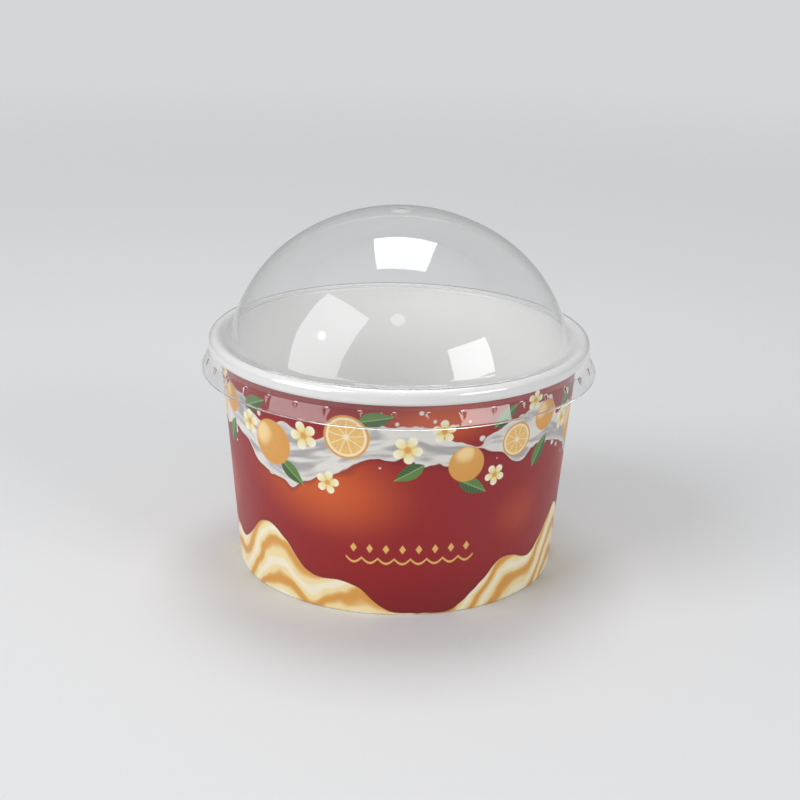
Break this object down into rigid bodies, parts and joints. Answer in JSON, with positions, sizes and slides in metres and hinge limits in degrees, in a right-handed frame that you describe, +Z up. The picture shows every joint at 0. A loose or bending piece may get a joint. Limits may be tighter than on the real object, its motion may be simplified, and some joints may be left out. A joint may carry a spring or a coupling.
{
  "type": "paper cup with lid",
  "caption": "Round tapered paper tub with a rolled rim and a recessed bottom, closed by a clear domed lid that clips over the rim.",
  "frame": {"origin": "middle of the foot, on the surface the cup stands on", "axes": "+Z up along the axis of the cup, +Y towards the side seam of the wall, -Y the front"},
  "size_m": [0.1004, 0.1004, 0.0921],
  "materials": {
    "printed_board": "coated, printed outside, white inside",
    "white_board": "coated, white",
    "clear_film": "clear, glossy"
  },
  "bodies": {
    "cup": {"cup_wall": "printed_board", "cup_bottom": "white_board"},
    "lid": {"dome_lid": "clear_film"}
  },
  "joints": [
    {"name": "lid_lift", "type": "slide", "parent": "cup", "child": "lid", "axis": [0, 0, 1], "range_m": [0, 0.06]}
  ]
}
